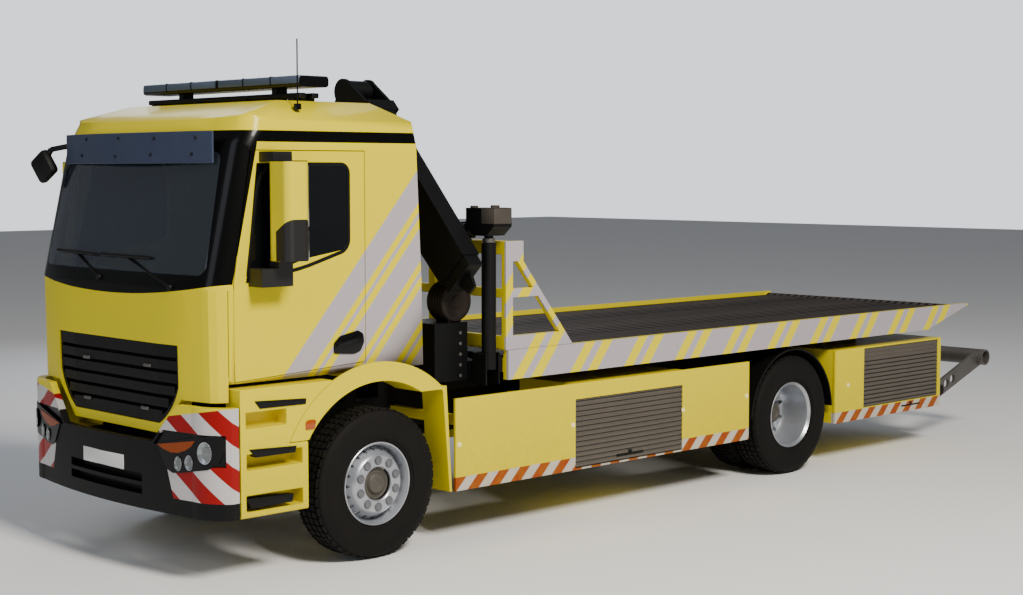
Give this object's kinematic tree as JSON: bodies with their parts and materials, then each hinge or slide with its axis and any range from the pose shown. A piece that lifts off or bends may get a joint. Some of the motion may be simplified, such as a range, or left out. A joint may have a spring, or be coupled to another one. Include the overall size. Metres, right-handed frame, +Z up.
{
  "type": "tow truck",
  "caption": "Cab-over two-axle recovery truck with a tilting slide bed, a folded loader crane behind the cab and a hinged tail bar.",
  "frame": {"origin": "centre of the bounding box on the ground plane", "axes": "+Z up; -Y the way the truck drives, +Y to the tail; +X to the driver's left"},
  "size_m": [2.924, 9.7402, 3.61],
  "materials": {
    "body_yellow": "gloss",
    "chassis_black": "satin",
    "deck_grey": "satin",
    "rail_grey": "satin",
    "cast_dark": "rough",
    "bumper_plastic": "matt",
    "grille_plastic": "matt",
    "lamp_cover": "gloss",
    "roof_lamp": "gloss",
    "shutter_silver": "brushed",
    "rim_silver": "satin",
    "tyre_rubber": "matt",
    "window_glass": "clear",
    "trim_dark": "matt",
    "seat_cloth": "woven",
    "dash_plastic": "matt",
    "crane_dark": "satin",
    "leg_grey": "satin"
  },
  "bodies": {
    "chassis": {"frame_rails": "chassis_black", "cab_mounts": "cast_dark", "engine_block": "cast_dark", "front_axle": "cast_dark", "rear_axle": "cast_dark", "front_bumper": "bumper_plastic", "headlamps": "lamp_cover", "cab_steps": "body_yellow", "front_fenders": "body_yellow", "side_panels": "body_yellow", "roller_shutters": "shutter_silver", "rear_mudguards": "trim_dark", "crane_base": "crane_dark"},
    "cab": {"cab_shell": "body_yellow", "cab_roof": "body_yellow", "front_panel": "body_yellow", "grille": "grille_plastic", "windscreen": "window_glass", "seats": "seat_cloth", "dashboard": "dash_plastic", "sun_visor": "trim_dark", "roof_equipment": "roof_lamp"},
    "door_left": {"door_left": "body_yellow", "door_glass_left": "window_glass", "mirror_left": "trim_dark"},
    "door_right": {"door_right": "body_yellow", "door_glass_right": "window_glass", "mirror_right": "trim_dark"},
    "knuckle_left": {"knuckle_left": "cast_dark"},
    "knuckle_right": {"knuckle_right": "cast_dark"},
    "wheel_front_left": {"rim_front_left": "rim_silver", "tyre_front_left": "tyre_rubber"},
    "wheel_front_right": {"rim_front_right": "rim_silver", "tyre_front_right": "tyre_rubber"},
    "wheels_rear_left": {"rims_rear_left": "rim_silver", "tyres_rear_left": "tyre_rubber"},
    "wheels_rear_right": {"rims_rear_right": "rim_silver", "tyres_rear_right": "tyre_rubber"},
    "tilt_frame": {"tilt_frame": "rail_grey"},
    "bed": {"bed_platform": "deck_grey", "headboard": "body_yellow"},
    "inner_boom": {"inner_boom": "crane_dark"},
    "outer_boom": {"outer_boom": "crane_dark"},
    "boom_extension": {"boom_extension": "leg_grey"},
    "stabiliser_beam_left": {"stabiliser_beam_left": "crane_dark"},
    "stabiliser_beam_right": {"stabiliser_beam_right": "crane_dark"},
    "stabiliser_leg_left": {"stabiliser_leg_left": "leg_grey"},
    "stabiliser_leg_right": {"stabiliser_leg_right": "leg_grey"},
    "tail_bar": {"tail_bar": "chassis_black"}
  },
  "joints": [
    {"name": "cab_tilt", "type": "hinge", "parent": "chassis", "child": "cab", "pos_m": [0, -4.7325, 0.65], "axis": [1, 0, 0], "range_deg": [0, 50]},
    {"name": "door_left_hinge", "type": "hinge", "parent": "cab", "child": "door_left", "pos_m": [1.15, -4.5545, 1.7], "axis": [0, 0, -1], "range_deg": [0, 70]},
    {"name": "door_right_hinge", "type": "hinge", "parent": "cab", "child": "door_right", "pos_m": [-1.15, -4.5545, 1.7], "axis": [0, 0, 1], "range_deg": [0, 70]},
    {"name": "steering_left", "type": "hinge", "parent": "chassis", "child": "knuckle_left", "pos_m": [0.85, -3.4125, 0.532], "axis": [0, 0, 1], "range_deg": [-38, 38]},
    {"name": "steering_right", "type": "hinge", "parent": "chassis", "child": "knuckle_right", "pos_m": [-0.85, -3.4125, 0.532], "axis": [0, 0, 1], "range_deg": [-38, 38]},
    {"name": "wheel_front_left_spin", "type": "hinge", "parent": "knuckle_left", "child": "wheel_front_left", "pos_m": [1.085, -3.4125, 0.532], "axis": [1, 0, 0], "continuous": true},
    {"name": "wheel_front_right_spin", "type": "hinge", "parent": "knuckle_right", "child": "wheel_front_right", "pos_m": [-1.085, -3.4125, 0.532], "axis": [1, 0, 0], "continuous": true},
    {"name": "wheels_rear_left_spin", "type": "hinge", "parent": "chassis", "child": "wheels_rear_left", "pos_m": [0.912, 1.3875, 0.532], "axis": [1, 0, 0], "continuous": true},
    {"name": "wheels_rear_right_spin", "type": "hinge", "parent": "chassis", "child": "wheels_rear_right", "pos_m": [-0.912, 1.3875, 0.532], "axis": [1, 0, 0], "continuous": true},
    {"name": "bed_tilt", "type": "hinge", "parent": "chassis", "child": "tilt_frame", "pos_m": [0, 3.5375, 1.06], "axis": [-1, 0, 0], "range_deg": [0, 14]},
    {"name": "bed_slide", "type": "slide", "parent": "tilt_frame", "child": "bed", "axis": [0, 1, 0], "range_m": [0, 4.4]},
    {"name": "inner_boom_lift", "type": "hinge", "parent": "chassis", "child": "inner_boom", "pos_m": [-0.62, -2.6125, 2.05], "axis": [0, -1, 0], "range_deg": [0, 110]},
    {"name": "outer_boom_fold", "type": "hinge", "parent": "inner_boom", "child": "outer_boom", "pos_m": [0, -2.6125, 3.33], "axis": [0, -1, 0], "range_deg": [0, 150]},
    {"name": "boom_extend", "type": "slide", "parent": "outer_boom", "child": "boom_extension", "axis": [0.6872, 0, -0.7265], "range_m": [0, 1.1]},
    {"name": "stabiliser_slide_left", "type": "slide", "parent": "chassis", "child": "stabiliser_beam_left", "axis": [1, 0, 0], "range_m": [0, 0.9]},
    {"name": "stabiliser_slide_right", "type": "slide", "parent": "chassis", "child": "stabiliser_beam_right", "axis": [-1, 0, 0], "range_m": [0, 0.9]},
    {"name": "stabiliser_swing_left", "type": "hinge", "parent": "stabiliser_beam_left", "child": "stabiliser_leg_left", "pos_m": [1.195, -2.3225, 1.3], "axis": [0, 1, 0], "range_deg": [0, 181]},
    {"name": "stabiliser_swing_right", "type": "hinge", "parent": "stabiliser_beam_right", "child": "stabiliser_leg_right", "pos_m": [-1.195, -2.3225, 1.3], "axis": [0, -1, 0], "range_deg": [0, 181]},
    {"name": "tail_bar_pivot", "type": "hinge", "parent": "chassis", "child": "tail_bar", "pos_m": [0, 4.0075, 0.512], "axis": [-1, 0, 0], "range_deg": [-25, 40]}
  ],
  "couplings": [
    {"joint": "steering_right", "follows": "steering_left", "ratio": 1},
    {"joint": "stabiliser_swing_left", "follows": "stabiliser_slide_left", "rad_per_m": 3.4907},
    {"joint": "stabiliser_swing_right", "follows": "stabiliser_slide_right", "rad_per_m": 3.4907}
  ]
}
